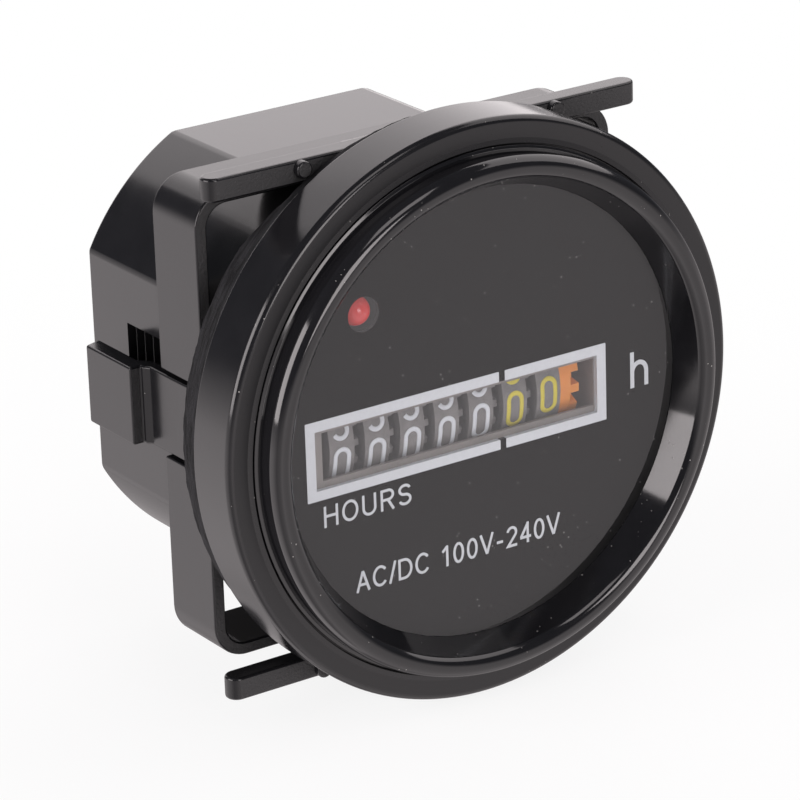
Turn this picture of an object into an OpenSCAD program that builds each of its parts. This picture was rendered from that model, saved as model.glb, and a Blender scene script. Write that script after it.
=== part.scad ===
// Panel hour meter: a number-drum counter driven by a small stepping motor,
// in a round-fronted case that a sliding bracket clamps into a panel hole.
// Units are millimetres. X points right, Y to the rear and Z up.
// Depths are measured from the flange's front face, and placed() then moves
// the finished part so that its bounding box is centred on the origin.

/* [Case] */
// Outside diameter of the round flange
flange_d = 59.5; // [58:0.5:62]
// Depth of the flange's rim
flange_depth = 6.3; // [6:0.1:7.5]
// Width of the body across its flats
body_w = 44.3; // [44:0.1:46]
// Length of each of the body's four straight sides
flat_len = 23.4; // [22:0.1:25]
// Distance from the flange's front to the body's back
body_depth = 37.6; // [37:0.1:46]
// Thickness of the body's walls
wall = 2; // [1.8:0.1:2.2]

/* [Front] */
// Outside diameter of the raised lens ring
lens_ring_d = 53.5; // [53:0.1:54]
// How far the lens ring stands out of the flange
lens_ring_rise = 2.75; // [2:0.05:4]
// Thickness of the clear lens
lens_t = 0.8; // [0.6:0.1:1.2]
// Thickness of the dial plate
dial_t = 0.5; // [0.4:0.1:0.8]
// Width of the dial's window
window_w = 33.6; // [32.8:0.1:34.2]
// Height of the dial's window
window_h = 6.1; // [5:0.1:7]
// Diameter of the indicator hole in the dial
indicator_d = 3.55; // [3.2:0.05:4.5]

/* [Seal] */
// Width of the foam gasket's ring
gasket_w = 3.45; // [3:0.05:3.5]
// Gap between the gasket's bore and the body's corners
gasket_gap = 0.3; // [0.1:0.05:0.4]
// Thickness of the gasket where nothing presses on it
gasket_t = 3.3; // [2.7:0.1:3.9]
// Thickness of the gasket under the bracket's bars
gasket_pressed_t = 2; // [1.5:0.1:2.3]

/* [Bracket] */
// Gap between the sleeve's side walls and the body
sleeve_side_gap = 1.15; // [0.9:0.05:1.6]
// Gap between the sleeve's top and bottom walls and the body
sleeve_top_gap = 0.75; // [0.5:0.05:1]
// Length of the sleeve along the body
sleeve_len = 7.9; // [7:0.1:9]
// Thickness of the sleeve's walls
sleeve_t = 1.3; // [1.1:0.1:1.5]
// Outside radius of the sleeve's corners
sleeve_r = 3.6; // [2.5:0.1:5]
// Length of the two bars that bear on the panel
bar_len = 50.6; // [46:0.1:56]
// Height of each bar
bar_h = 2.4; // [2:0.1:3]
// Depth of each bar
bar_depth = 2.36; // [2:0.02:2.6]
// Gap between a bar and the pressed gasket
bar_gap = 0.12; // [0.05:0.01:0.3]
// Height of the spring tongues
tongue_h = 8.2; // [7:0.1:9]
// Distance between neighbouring ratchet teeth
tooth_pitch = 1.6; // [1.5:0.05:1.7]
// Depth of the ratchet teeth
tooth_depth = 0.95; // [0.7:0.05:1]

/* [Counter] */
// Radius of a number drum
drum_r = 7.3; // [7.1:0.05:7.4]
// Width of a number drum's rim
drum_w = 2.9; // [2.7:0.05:3]
// Distance between neighbouring drums
drum_pitch = 4.1; // [4.05:0.01:4.15]
// Radius of the drum shaft
shaft_r = 1; // [0.8:0.05:1.2]
// Radial clearance of everything that turns on a shaft
run = 0.05; // [0.02:0.01:0.1]

/* [Terminals] */
// Width of a terminal blade
blade_w = 6.3; // [4.8:0.1:6.3]
// Thickness of a terminal blade
blade_t = 0.8; // [0.5:0.1:0.8]
// Length of a terminal blade behind the case
blade_len = 8; // [7:0.1:10]

/* [Hidden] */
$fn = 72;
// Small amount by which cutters pass the faces they cut
eps = 0.2;

// Case
flange_r = flange_d / 2;
body_r = body_w / 2;
flat_r = flat_len / 2;
corner_r = norm([body_r, flat_r]);
gasket_bore_r = corner_r + gasket_gap;
// Depth of the shoulder that the dial support sits on
shoulder_y = 4;
// Depth of the recess that holds the lens ring's foot
recess_y = 0.5;
// Width of the groove left open around the lens ring
groove = 0.35;
back_in_y = body_depth - wall;
terminal_x = 9;
back_y = body_depth + blade_len;
mid_y = (back_y - lens_ring_rise) / 2;

// Front
ring_r = lens_ring_d / 2;
lip_r = ring_r - 3.8;
lens_y = 0.1;
lens_r = ring_r - 2.35;
bore_r = ring_r - 0.85;
dial_y = lens_y + lens_t;
support_y = dial_y + dial_t;
indicator_x = -13.3;
indicator_z = 13;
lamp_y = dial_y + 0.1;
lamp_back_y = lamp_y + 5.1;

// Bracket: the sleeve fits round the body, and its depth follows from the pressed gasket
sleeve_w = body_w + 2 * (sleeve_side_gap + sleeve_t);
sleeve_h = body_w + 2 * (sleeve_top_gap + sleeve_t);
bar_y = flange_depth + gasket_pressed_t + bar_gap;
bar_z = sleeve_h / 2 + 0.33;
sleeve_y = bar_y + bar_depth + 1.56;
sleeve_end_y = sleeve_y + sleeve_len;
tongue_in = sleeve_w / 2 - sleeve_t;
tongue_out = sleeve_w / 2;
lever_out = tongue_out + 1.7;
lever_y = sleeve_end_y + 3.06;
lever_end_y = lever_y + 8.5;

// Ratchet: the pawl's valley lies seven teeth in front of the rack's end
rack_end_y = sleeve_end_y + 10.24;
rack_teeth = 10;
rack_half = 5.9;
rest_tooth = 7;
pawl_y = rack_end_y - rest_tooth * tooth_pitch;
pawl_play = 0.12;
tooth_tip = body_r - 0.07;
tooth_root = body_r - tooth_depth;

// Counter: the shafts lie along X, and these are their Y and Z
mask_t = 0.4;
drum_y = support_y + mask_t + 0.2 + drum_r;
drum_z = -0.6;
plate_t = 1;
// Gap between the counter frame's left plate and the body's wall
frame_gap = 0.65;
left_plate_x = wall + frame_gap + plate_t - body_r;
first_drum_x = left_plate_x + 2.9;
drive_x = first_drum_x + 6 * drum_pitch + drum_w / 2;
right_plate_x = drive_x + 3.75;
window_x = first_drum_x + 12.97;
window_z = -0.53;
// Depth of the counter frame's back, where the circuit board is seated
board_t = 1.6;
board_gap = 0.6;
board_y = back_in_y - board_gap - board_t;
frame_back_y = board_y;

// Transfer pinions between the drums
drum_teeth = 20;
pinion_teeth = 8;
drum_module = (drum_r + 1.1) * 2 / (drum_teeth + pinion_teeth);
pinion_shaft_r = 0.6;
pinion_y = drum_y + drum_r + 1.1;

// Reduction train from the motor to the drive wheel
drive_module = 0.64;
gear_b_pinion = 10;
gear_b_teeth = 32;
gear_b_module = 0.4;
gear_a_pinion = 8;
gear_a_teeth = 40;
gear_a_module = 0.3;
rotor_teeth = 8;
arbor_r = 0.5;
drive_angle = 48;
drive_reach = drive_module * (drum_teeth + gear_b_pinion) / 2;
arbor_b_y = drum_y + drive_reach * cos(drive_angle);
arbor_b_z = drum_z + drive_reach * sin(drive_angle);
arbor_a_y = arbor_b_y + gear_b_module * (gear_b_teeth + gear_a_pinion) / 2;
arbor_a_z = arbor_b_z;
rotor_angle = -75;
rotor_reach = gear_a_module * (gear_a_teeth + rotor_teeth) / 2;
rotor_y = arbor_a_y + rotor_reach * cos(rotor_angle);
rotor_z = arbor_a_z + rotor_reach * sin(rotor_angle);
// Tooth positions at rest, so that every pair is in mesh
drive_turn = 4;
pinion_turn = mesh_turn(drum_teeth, 0, pinion_teeth, 0);
gear_b_turn = mesh_turn(drum_teeth, drive_turn, gear_b_pinion, drive_angle);
gear_a_turn = mesh_turn(gear_b_teeth, gear_b_turn, gear_a_pinion, 0);
rotor_turn = mesh_turn(gear_a_teeth, gear_a_turn, rotor_teeth, rotor_angle);
// Places along X of what turns on the arbors
wheel_t = 0.8;
gear_b_wheel_x = drive_x + 2.6;
gear_a_pinion_x = gear_b_wheel_x + 0.15;
rotor_pinion_x = drive_x - 0.25;
gear_a_x = rotor_pinion_x + 0.4;
gear_a_hub_r = 0.95;

// Motor
bridge_x = drive_x - 6.05;
stator_x = bridge_x + 3.4;
stator_t = 1;
stator_r = 6;
stator_leg = 2.5;
magnet_r = 3;
magnet_t = 2.4;
coil_drop = 11.6;
coil_z = rotor_z - coil_drop;
core_h = 2;
bobbin_wall = 0.5;
bobbin_end_t = 0.6;
bobbin_w = 6;
bobbin_h = 7;
bobbin_len = 2 * (stator_r - stator_leg) - 0.2;
winding_w = 5.2;
winding_h = 6.2;

// Parts on the circuit board
capacitor_r = 4;
capacitor_len = 10;
capacitor_x = -9;
capacitor_z = -11.5;
crystal_r = 1.5;
crystal_len = 6.2;
chip_t = 1.6;
resistor_r = 1.1;

// Turn that puts a gap of gear 2 opposite a tooth of gear 1, which lies at the angle theta from it
function mesh_turn(n1, turn1, n2, theta) =
  theta + 180 - n1 / n2 * (turn1 - theta) - 180 / n2;

// Points of an arc in a profile
function arc(cx, cy, r, from, to, n) =
  [for (i = [0:n]) [cx + r * cos(from + (to - from) * i / n), cy + r * sin(from + (to - from) * i / n)]];

// Outline of a gear: straight-flanked teeth with widths given as shares of the tooth spacing
function gear_points(n, m, tip, root, wide, narrow) =
  [for (i = [0:n - 1]) let (step = 360 / n, a = i * step, r = m * n / 2)
    each [
      (r - root * m) * [cos(a - step * wide), sin(a - step * wide)],
      (r + tip * m) * [cos(a - step * narrow), sin(a - step * narrow)],
      (r + tip * m) * [cos(a + step * narrow), sin(a + step * narrow)],
      (r - root * m) * [cos(a + step * wide), sin(a + step * wide)]]];

// Moves a piece from depths behind the flange to the part's own frame
module placed() {
  translate([0, -mid_y, 0]) children();
}

// Lays a flat drawing of Y and Z at the place x, with a thickness along X
module along_x(x, t) {
  translate([x, 0, 0]) rotate([90, 0, 90]) linear_extrude(t) children();
}

// Lays a flat drawing of X and Z at the depth y, with a thickness towards the rear
module along_y(y, t) {
  translate([0, y + t, 0]) rotate([90, 0, 0]) linear_extrude(t) children();
}

// Turns a profile of radius and depth about the Y axis
module turned() {
  rotate([-90, 0, 0]) rotate_extrude($fn = 180) children();
}

// A round bar along Y
module rod_y(x, y, z, r, len) {
  translate([x, y, z]) rotate([-90, 0, 0]) cylinder(r = r, h = len);
}

// A round bar along X
module rod_x(x, y, z, r, len) {
  translate([x, y, z]) rotate([0, 90, 0]) cylinder(r = r, h = len);
}

// A rectangle with rounded corners, centred
module rounded(w, h, r) {
  square([w - 2 * r, h], center = true);
  square([w, h - 2 * r], center = true);
  for (sx = [-1, 1], sz = [-1, 1])
    translate([sx * (w / 2 - r), sz * (h / 2 - r)]) circle(r);
}

// The body's outline, a circle with four flats, drawn in by a distance
module body_outline(inset) {
  intersection() {
    circle(corner_r - inset, $fn = 180);
    square(2 * (body_r - inset), center = true);
  }
}

// Ratchet teeth cut into the side of the body: steep faces look forward
module rack_cut() {
  points = [for (i = [0:rack_teeth - 1]) let (y = rack_end_y - i * tooth_pitch)
    each [[tooth_root, y], [tooth_tip, y - tooth_pitch]]];
  translate([0, 0, -rack_half]) linear_extrude(2 * rack_half)
    polygon(concat([[body_r + eps, rack_end_y]], points,
      [[body_r + eps, rack_end_y - rack_teeth * tooth_pitch]]));
}

// One-piece case: round flange, body with four flats and closed back
module housing() {
  flange = concat(
    [[flat_r, flange_depth], [flat_r, shoulder_y], [bore_r, shoulder_y], [bore_r, recess_y],
      [ring_r + groove, recess_y], [ring_r + groove, 0]],
    arc(flange_r - 0.5, 0.5, 0.5, -90, 0, 6),
    arc(flange_r - 0.2, flange_depth - 0.2, 0.2, 0, 90, 3));
  color([0.09, 0.09, 0.1]) placed() {
    difference() {
      union() {
        turned() polygon(flange);
        along_y(shoulder_y, body_depth - shoulder_y) body_outline(0);
      }
      along_y(shoulder_y - eps, back_in_y - shoulder_y + eps) body_outline(wall);
      rod_y(0, shoulder_y - eps, 0, lens_r - 0.4, flange_depth - shoulder_y - 0.4, $fn = 180);
      for (side = [0, 1])
        mirror([side, 0, 0]) {
          rack_cut();
          translate([terminal_x - blade_t / 2, back_in_y - eps, -blade_w / 2])
            cube([blade_t, wall + 2 * eps, blade_w]);
        }
    }
    for (sx = [-1, 1], sz = [-1, 1])
      rod_y(sx * 13.5, back_in_y - board_gap, sz * 9.5, 1.5, board_gap + 1);
  }
}

// Raised ring that holds the lens, standing in the flange's recess
module lens_ring() {
  top = -lens_ring_rise;
  profile = concat(
    [[lip_r, lens_y], [lip_r + 0.9, top + 0.85]],
    arc(ring_r - 1.4, top + 0.45, 0.45, 240, 270, 4),
    arc(ring_r - 0.65, top + 0.75, 0.45, 285, 350, 5),
    [[ring_r, 0], [ring_r, recess_y], [bore_r - run, recess_y],
      [bore_r - run, shoulder_y - 0.1], [lens_r + 0.2, shoulder_y - 0.1], [lens_r + 0.2, lens_y]]);
  color([0.06, 0.06, 0.065]) placed() turned() polygon(profile);
}

// Clear window disc behind the lens ring's lip
module lens() {
  color([0.85, 0.88, 0.9, 0.35]) placed() rod_y(0, lens_y, 0, lens_r, lens_t, $fn = 180);
}

// Black dial with the counter's window and the indicator's hole
module dial_plate() {
  color([0.12, 0.12, 0.13]) placed() difference() {
    rod_y(0, dial_y, 0, lens_r, dial_t, $fn = 180);
    translate([window_x - window_w / 2, dial_y - eps, window_z - window_h / 2])
      cube([window_w, dial_t + 2 * eps, window_h]);
    rod_y(indicator_x, dial_y - eps, indicator_z, indicator_d / 2, dial_t + 2 * eps);
  }
}

// Ring between the dial and the case's shoulder
module dial_support() {
  color([0.16, 0.16, 0.17]) placed() turned()
    translate([lens_r - 2.6, support_y]) square([2.7, shoulder_y - support_y]);
}

// Foam ring behind the flange, squeezed where the bars bear on it
module gasket() {
  press_y = flange_depth + gasket_pressed_t;
  full_y = flange_depth + gasket_t;
  press_z = bar_z - 1.2;
  color([0.14, 0.14, 0.15]) placed() difference() {
    turned() translate([gasket_bore_r, flange_depth])
      square([gasket_w, gasket_t]);
    for (side = [0, 1])
      mirror([0, 0, side]) along_x(-flange_r, 2 * flange_r)
        polygon([[full_y + eps, press_z - 5.2], [full_y, press_z - 4.4], [press_y, press_z],
          [press_y, flange_r], [full_y + eps, flange_r]]);
  }
}

// Spring tongue with its pawl and finger lever, drawn on the right
module tongue() {
  half = tongue_h / 2;
  slope = (tooth_tip - tooth_root) / tooth_pitch;
  lock = pawl_y - pawl_play;
  tip = tooth_root + 0.3;
  translate([0, 0, -half]) linear_extrude(tongue_h)
    polygon([[tongue_in, sleeve_y], [tongue_out, sleeve_y], [tongue_out, lever_y - 1],
      [tongue_out + 0.5, lever_y - 0.4], [tongue_out + 0.5, lever_y], [lever_out, lever_y],
      [lever_out, lever_end_y], [lever_out - 1.9, lever_end_y + 0.6],
      [lever_out - 1.9, lever_y + 1.6], [tongue_in, lever_y + 0.4]]);
  translate([0, 0, -half + 0.4]) linear_extrude(tongue_h - 0.8)
    polygon([[tip, lock], [tip, lock - 0.2], [tip + 1.1 * slope, lock - 1.2],
      [tongue_in + 0.1, lock - 1.4], [tongue_in + 0.1, lock]]);
}

// Bar that bears on the panel, with its two nibs and the web to the sleeve, drawn at the top
module bar() {
  end = bar_depth / 2;
  translate([0, bar_y + end, bar_z]) linear_extrude(bar_h) {
    square([bar_len - bar_depth, bar_depth], center = true);
    for (side = [-1, 1])
      translate([side * (bar_len / 2 - end), 0]) circle(end);
  }
  for (side = [-1, 1])
    rod_y(side * 14.9, bar_y - 0.8, bar_z + bar_h - 0.9, 0.85, 1);
  along_x(-9, 18)
    polygon([[bar_y + 1.2, bar_z], [bar_y + 1.2, bar_z + bar_h], [bar_y + bar_depth, bar_z + bar_h],
      [sleeve_y + 4, sleeve_h / 2 - 0.05], [sleeve_y + 4, sleeve_h / 2 - sleeve_t + 0.1],
      [sleeve_y + 0.1, sleeve_h / 2 - sleeve_t + 0.1]]);
}

// Sliding bracket, moulded in one with its bars and tongues
module mounting_bracket() {
  rib_x = tongue_in - body_r - 0.15;
  rib_z = sleeve_h / 2 - sleeve_t - body_r - 0.15;
  color([0.08, 0.08, 0.085]) placed() {
    difference() {
      along_y(sleeve_y, sleeve_len) difference() {
        rounded(sleeve_w, sleeve_h, sleeve_r);
        rounded(sleeve_w - 2 * sleeve_t, sleeve_h - 2 * sleeve_t, sleeve_r - sleeve_t);
      }
      for (side = [-1, 1])
        translate([side * (sleeve_w / 2 - sleeve_t / 2), sleeve_end_y, 0])
          cube([sleeve_t + 1, 2 * (sleeve_len - 1.2), tongue_h + 1], center = true);
    }
    for (side = [0, 1]) {
      mirror([side, 0, 0]) tongue();
      mirror([0, 0, side]) bar();
    }
    for (sx = [-1, 1], sz = [-1, 1]) {
      translate([sx * (tongue_in - rib_x / 2 + 0.05), sleeve_y + sleeve_len / 2, sz * 8.5])
        cube([rib_x + 0.1, sleeve_len, 1.6], center = true);
      translate([sx * 8, sleeve_y + sleeve_len / 2, sz * (body_r + 0.15 + rib_z / 2 + 0.05)])
        cube([1.6, sleeve_len, rib_z + 0.1], center = true);
    }
  }
}

// Outline of the counter frame's inner plate, which carries the motor's arbors
module bridge_outline() {
  polygon([[arbor_b_y - 1.7, arbor_b_z - 0.4], [pinion_y - 0.2, 3.2], [pinion_y + 3.8, -3.5],
    [frame_back_y, -3.5], [frame_back_y, arbor_b_z + 3], [arbor_b_y - 1.7, arbor_b_z + 3]]);
}

// Moulded frame: mask, two side plates, back wall and the motor's inner plate
module counter_frame() {
  low = -5.5;
  high = arbor_b_z + 3;
  span = right_plate_x + plate_t - left_plate_x + plate_t;
  color([0.36, 0.34, 0.32]) placed() difference() {
    union() {
      translate([left_plate_x - plate_t, support_y, drum_z - 4.3]) cube([span, mask_t, 8.8]);
      for (x = [left_plate_x - plate_t, right_plate_x])
        along_x(x, plate_t) polygon([[support_y, low], [frame_back_y, low],
          [frame_back_y, high], [drum_y, high], [support_y, 4.2]]);
      translate([left_plate_x - plate_t, frame_back_y - plate_t, low]) cube([span, plate_t, high - low]);
      along_x(bridge_x, plate_t) bridge_outline();
      rod_x(left_plate_x - 0.5, drum_y, drum_z, 2.2, first_drum_x - drum_w / 2 - 0.2 - left_plate_x + 0.5);
      for (a = [30, 150])
        rod_x(bridge_x + plate_t / 2, rotor_y + 4.8 * cos(a), rotor_z + 4.8 * sin(a), 0.9,
          stator_x - bridge_x - plate_t / 2);
    }
    translate([left_plate_x + 0.2, support_y - eps, window_z - 2.45])
      cube([right_plate_x - left_plate_x - 0.4, mask_t + 2 * eps, 4.95]);
    rod_x(left_plate_x - 2, drum_y, drum_z, shaft_r, span + 2);
    rod_x(left_plate_x - 2, pinion_y, drum_z, pinion_shaft_r, span + 2);
    for (p = [[arbor_a_y, arbor_a_z], [arbor_b_y, arbor_b_z]])
      rod_x(bridge_x - eps, p[0], p[1], arbor_r, span);
    rod_x(bridge_x - eps, rotor_y, rotor_z, arbor_r + run, span);
  }
}

// Fixed shaft that the number drums turn on
module drum_shaft() {
  color([0.75, 0.76, 0.78]) placed()
    rod_x(left_plate_x - plate_t, drum_y, drum_z, shaft_r, right_plate_x - left_plate_x + 2 * plate_t);
}

// Fixed shaft that the transfer pinions turn on
module pinion_shaft() {
  color([0.75, 0.76, 0.78]) placed()
    rod_x(left_plate_x - plate_t, pinion_y, drum_z, pinion_shaft_r,
      right_plate_x - left_plate_x + 2 * plate_t);
}

// Number drum: rim, web, hub, carry teeth and, on all but the last, the gear on its right
module drum(place) {
  x = first_drum_x + (place - 1) * drum_pitch;
  half = drum_w / 2;
  gear_w = drum_pitch - drum_w - 0.2;
  color([0.13, 0.12, 0.12]) placed() difference() {
    union() {
      difference() {
        rod_x(x - half, drum_y, drum_z, drum_r, drum_w, $fn = 144);
        rod_x(x - half - eps, drum_y, drum_z, drum_r - 0.8, drum_w - 1.2 + eps, $fn = 144);
      }
      rod_x(x - half - 0.15, drum_y, drum_z, 2.2, drum_w + 0.1);
      for (a = [-9, 9])
        translate([x - half + 0.4, drum_y, drum_z]) rotate([a + 200, 0, 0])
          translate([0, drum_r - 1.7, -0.4]) cube([drum_w - 1.2, 1.2, 0.8]);
      if (place < 7)
        translate([0, drum_y, drum_z]) along_x(x + half - 0.1, gear_w + 0.1)
          polygon(gear_points(drum_teeth, drum_module, 0.75, 1.1, 0.33, 0.17));
    }
    rod_x(x - drum_pitch, drum_y, drum_z, shaft_r + run, 2 * drum_pitch);
  }
}

module drum_1() { drum(1); }
module drum_2() { drum(2); }
module drum_3() { drum(3); }
module drum_4() { drum(4); }
module drum_5() { drum(5); }
module drum_6() { drum(6); }
module drum_7() { drum(7); }

// Orange wheel fixed to the last drum, driven by the motor's reduction train
module drive_wheel() {
  color([0.88, 0.45, 0.14]) placed() difference() {
    union() {
      rod_x(drive_x, drum_y, drum_z, drum_r - 0.3, 1.45, $fn = 144);
      translate([0, drum_y, drum_z]) along_x(drive_x + 1.4, 1.1)
        rotate(drive_turn) polygon(gear_points(drum_teeth, drive_module, 0.85, 1.1, 0.34, 0.2));
    }
    rod_x(drive_x - eps, drum_y, drum_z, shaft_r + run, 4);
  }
}

// Eight-tooth pinion that carries from one drum to the next
module transfer_pinion(place) {
  x = first_drum_x + (place - 1) * drum_pitch + drum_w / 2;
  color([0.82, 0.8, 0.74]) placed() translate([0, pinion_y, drum_z])
    along_x(x + 0.1, drum_pitch - drum_w - 0.25) difference() {
      rotate(pinion_turn) polygon(gear_points(pinion_teeth, drum_module, 0.7, 1, 0.24, 0.11));
      circle(pinion_shaft_r + run);
    }
}

module transfer_pinion_1() { transfer_pinion(1); }
module transfer_pinion_2() { transfer_pinion(2); }
module transfer_pinion_3() { transfer_pinion(3); }
module transfer_pinion_4() { transfer_pinion(4); }
module transfer_pinion_5() { transfer_pinion(5); }
module transfer_pinion_6() { transfer_pinion(6); }

// Fixed steel arbors of the reduction gears
module arbor_a() {
  color([0.75, 0.76, 0.78]) placed()
    rod_x(bridge_x, arbor_a_y, arbor_a_z, arbor_r, right_plate_x + plate_t - bridge_x);
}

module arbor_b() {
  color([0.75, 0.76, 0.78]) placed()
    rod_x(bridge_x, arbor_b_y, arbor_b_z, arbor_r, right_plate_x + plate_t - bridge_x);
}

// First reduction gear: wheel driven by the rotor, and its pinion
module gear_a() {
  color([0.86, 0.84, 0.78]) placed() translate([0, arbor_a_y, arbor_a_z]) difference() {
    union() {
      along_x(gear_a_x, wheel_t) rotate(gear_a_turn)
        polygon(gear_points(gear_a_teeth, gear_a_module, 0.75, 1.1, 0.33, 0.16));
      along_x(gear_a_x + wheel_t - 0.1, gear_a_pinion_x - gear_a_x - wheel_t + 0.15)
        circle(gear_a_hub_r);
      along_x(gear_a_pinion_x, wheel_t) rotate(gear_a_turn)
        polygon(gear_points(gear_a_pinion, gear_b_module, 0.7, 1, 0.22, 0.09));
    }
    along_x(gear_a_x - eps, gear_a_pinion_x - gear_a_x + 2 * wheel_t) circle(arbor_r + run);
  }
}

// Second reduction gear: wheel, and the pinion that turns the drive wheel
module gear_b() {
  color([0.86, 0.84, 0.78]) placed() translate([0, arbor_b_y, arbor_b_z]) difference() {
    union() {
      along_x(drive_x + 1.5, 1.2) rotate(gear_b_turn)
        polygon(gear_points(gear_b_pinion, drive_module, 0.7, 1, 0.19, 0.08));
      along_x(gear_b_wheel_x, wheel_t) rotate(gear_b_turn)
        polygon(gear_points(gear_b_teeth, gear_b_module, 0.75, 1.1, 0.33, 0.16));
    }
    along_x(drive_x, 5) circle(arbor_r + run);
  }
}

// Motor rotor: spindle with its pinion
module rotor() {
  color([0.9, 0.88, 0.82]) placed() translate([0, rotor_y, rotor_z]) {
    along_x(bridge_x, right_plate_x + plate_t - bridge_x) circle(arbor_r);
    along_x(rotor_pinion_x, 1.5 * wheel_t) rotate(rotor_turn)
      polygon(gear_points(rotor_teeth, gear_a_module, 0.7, 1, 0.22, 0.09));
  }
}

// Round two-pole magnet on the rotor's spindle
module rotor_magnet() {
  color([0.25, 0.25, 0.27]) placed() translate([0, rotor_y, rotor_z])
    along_x(stator_x + stator_t / 2 - magnet_t / 2 + 0.1, magnet_t) difference() {
      circle(magnet_r);
      circle(arbor_r);
    }
}

// Stator: one plate with the rotor's hole, two legs and the coil's core
module stator_core() {
  color([0.55, 0.56, 0.58]) placed() along_x(stator_x, stator_t) difference() {
    union() {
      translate([rotor_y, rotor_z]) circle(stator_r);
      for (y = [rotor_y - stator_r, rotor_y + stator_r - stator_leg])
        translate([y, coil_z - core_h / 2]) square([stator_leg, coil_drop + core_h / 2]);
      translate([rotor_y - stator_r, coil_z - core_h / 2]) square([2 * stator_r, core_h]);
    }
    translate([rotor_y, rotor_z]) circle(magnet_r + 0.5);
  }
}

// Bobbin round the stator's core
module coil_bobbin() {
  end = (bobbin_len - bobbin_end_t) / 2;
  color([0.9, 0.88, 0.8]) placed()
    translate([stator_x + stator_t / 2, rotor_y, coil_z]) difference() {
      union() {
        cube([stator_t + 2 * bobbin_wall, bobbin_len, core_h + 2 * bobbin_wall], center = true);
        for (side = [-1, 1])
          translate([0, side * end, 0]) cube([bobbin_w, bobbin_end_t, bobbin_h], center = true);
      }
      cube([stator_t, bobbin_len + 1, core_h], center = true);
    }
}

// Copper winding on the bobbin
module coil_winding() {
  len = bobbin_len - 2 * bobbin_end_t;
  color([0.72, 0.4, 0.2]) placed()
    translate([stator_x + stator_t / 2, rotor_y, coil_z]) rotate([90, 0, 0])
      linear_extrude(len, center = true) difference() {
        rounded(winding_w, winding_h, winding_w / 4.3);
        square([stator_t + 2 * bobbin_wall, core_h + 2 * bobbin_wall], center = true);
      }
}

// Pin from the bobbin to the circuit board
module coil_pin(side) {
  y = rotor_y + bobbin_len / 2;
  color([0.78, 0.78, 0.76]) placed()
    rod_y(stator_x + stator_t / 2 + side * (bobbin_w / 2 - 0.8), y, coil_z + 2.4, 0.3, board_y - y);
}

module coil_pin_left() { coil_pin(-1); }
module coil_pin_right() { coil_pin(1); }

// Eight-sided circuit board behind the counter
module circuit_board() {
  color([0.1, 0.3, 0.16]) placed() along_y(board_y, board_t) body_outline(wall + 1.6);
}

// Indicator lamp behind its hole in the dial
module led() {
  r = 1.5;
  color([0.75, 0.18, 0.18]) placed() translate([indicator_x, 0, indicator_z]) turned()
    polygon(concat([[0, lamp_y]], [for (i = [1:8]) [r * sin(90 * i / 8), lamp_y + r - r * cos(90 * i / 8)]],
      [[r, lamp_back_y - 1], [1.9, lamp_back_y - 1], [1.9, lamp_back_y], [0, lamp_back_y]]));
}

// Wire leg of the indicator lamp, down to the circuit board
module led_lead(side) {
  color([0.78, 0.78, 0.76]) placed()
    rod_y(indicator_x + side * 1.27, lamp_back_y, indicator_z, 0.25, board_y - lamp_back_y);
}

module led_lead_left() { led_lead(-1); }
module led_lead_right() { led_lead(1); }

// Spade terminal: blade with a locking hole, bevelled at its end, and a shoulder inside the case
module terminal(side) {
  half = blade_w / 2;
  shoulder = half + 1;
  foot = board_y + board_t;
  color([0.8, 0.8, 0.78]) placed() along_x(side * terminal_x - blade_t / 2, blade_t) difference() {
    polygon([[foot, -shoulder], [back_in_y, -shoulder], [back_in_y, -half], [back_y - 1.4, -half],
      [back_y, 1.4 - half], [back_y, half - 1.4], [back_y - 1.4, half], [back_in_y, half],
      [back_in_y, shoulder], [foot, shoulder]]);
    translate([back_y - 4, 0]) circle(0.83);
  }
}

module terminal_left() { terminal(-1); }
module terminal_right() { terminal(1); }

// Parts on the front of the circuit board
module capacitor() {
  color([0.16, 0.18, 0.3]) placed()
    rod_y(capacitor_x, board_y - capacitor_len, capacitor_z, capacitor_r, capacitor_len);
}

module crystal() {
  color([0.75, 0.76, 0.78]) placed()
    rod_y(6, board_y - crystal_len, 14, crystal_r, crystal_len);
}

module chip() {
  color([0.1, 0.1, 0.11]) placed() translate([-2, board_y - chip_t, 12]) cube([4, chip_t, 5]);
}

module resistor() {
  color([0.72, 0.62, 0.45]) placed() rod_x(-2, board_y - resistor_r, -12, resistor_r, 6);
}

housing();
lens_ring();
lens();
dial_plate();
dial_support();
gasket();
mounting_bracket();
counter_frame();
drum_shaft();
drum_1();
drum_2();
drum_3();
drum_4();
drum_5();
drum_6();
drum_7();
drive_wheel();
pinion_shaft();
transfer_pinion_1();
transfer_pinion_2();
transfer_pinion_3();
transfer_pinion_4();
transfer_pinion_5();
transfer_pinion_6();
arbor_a();
arbor_b();
gear_a();
gear_b();
rotor();
rotor_magnet();
stator_core();
coil_bobbin();
coil_winding();
coil_pin_left();
coil_pin_right();
circuit_board();
led();
led_lead_left();
led_lead_right();
terminal_left();
terminal_right();
capacitor();
crystal();
chip();
resistor();
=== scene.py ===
"""Looks of a round panel hour meter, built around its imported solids.

Pieces are drawn in millimetres behind the flange's front face, with X to the
right and Z up, and settle() then moves each one into the part's own frame.
"""

import math

import bpy
from bpy.props import FloatProperty, FloatVectorProperty, IntProperty, PointerProperty
from mathutils import Matrix, Vector, noise


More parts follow.
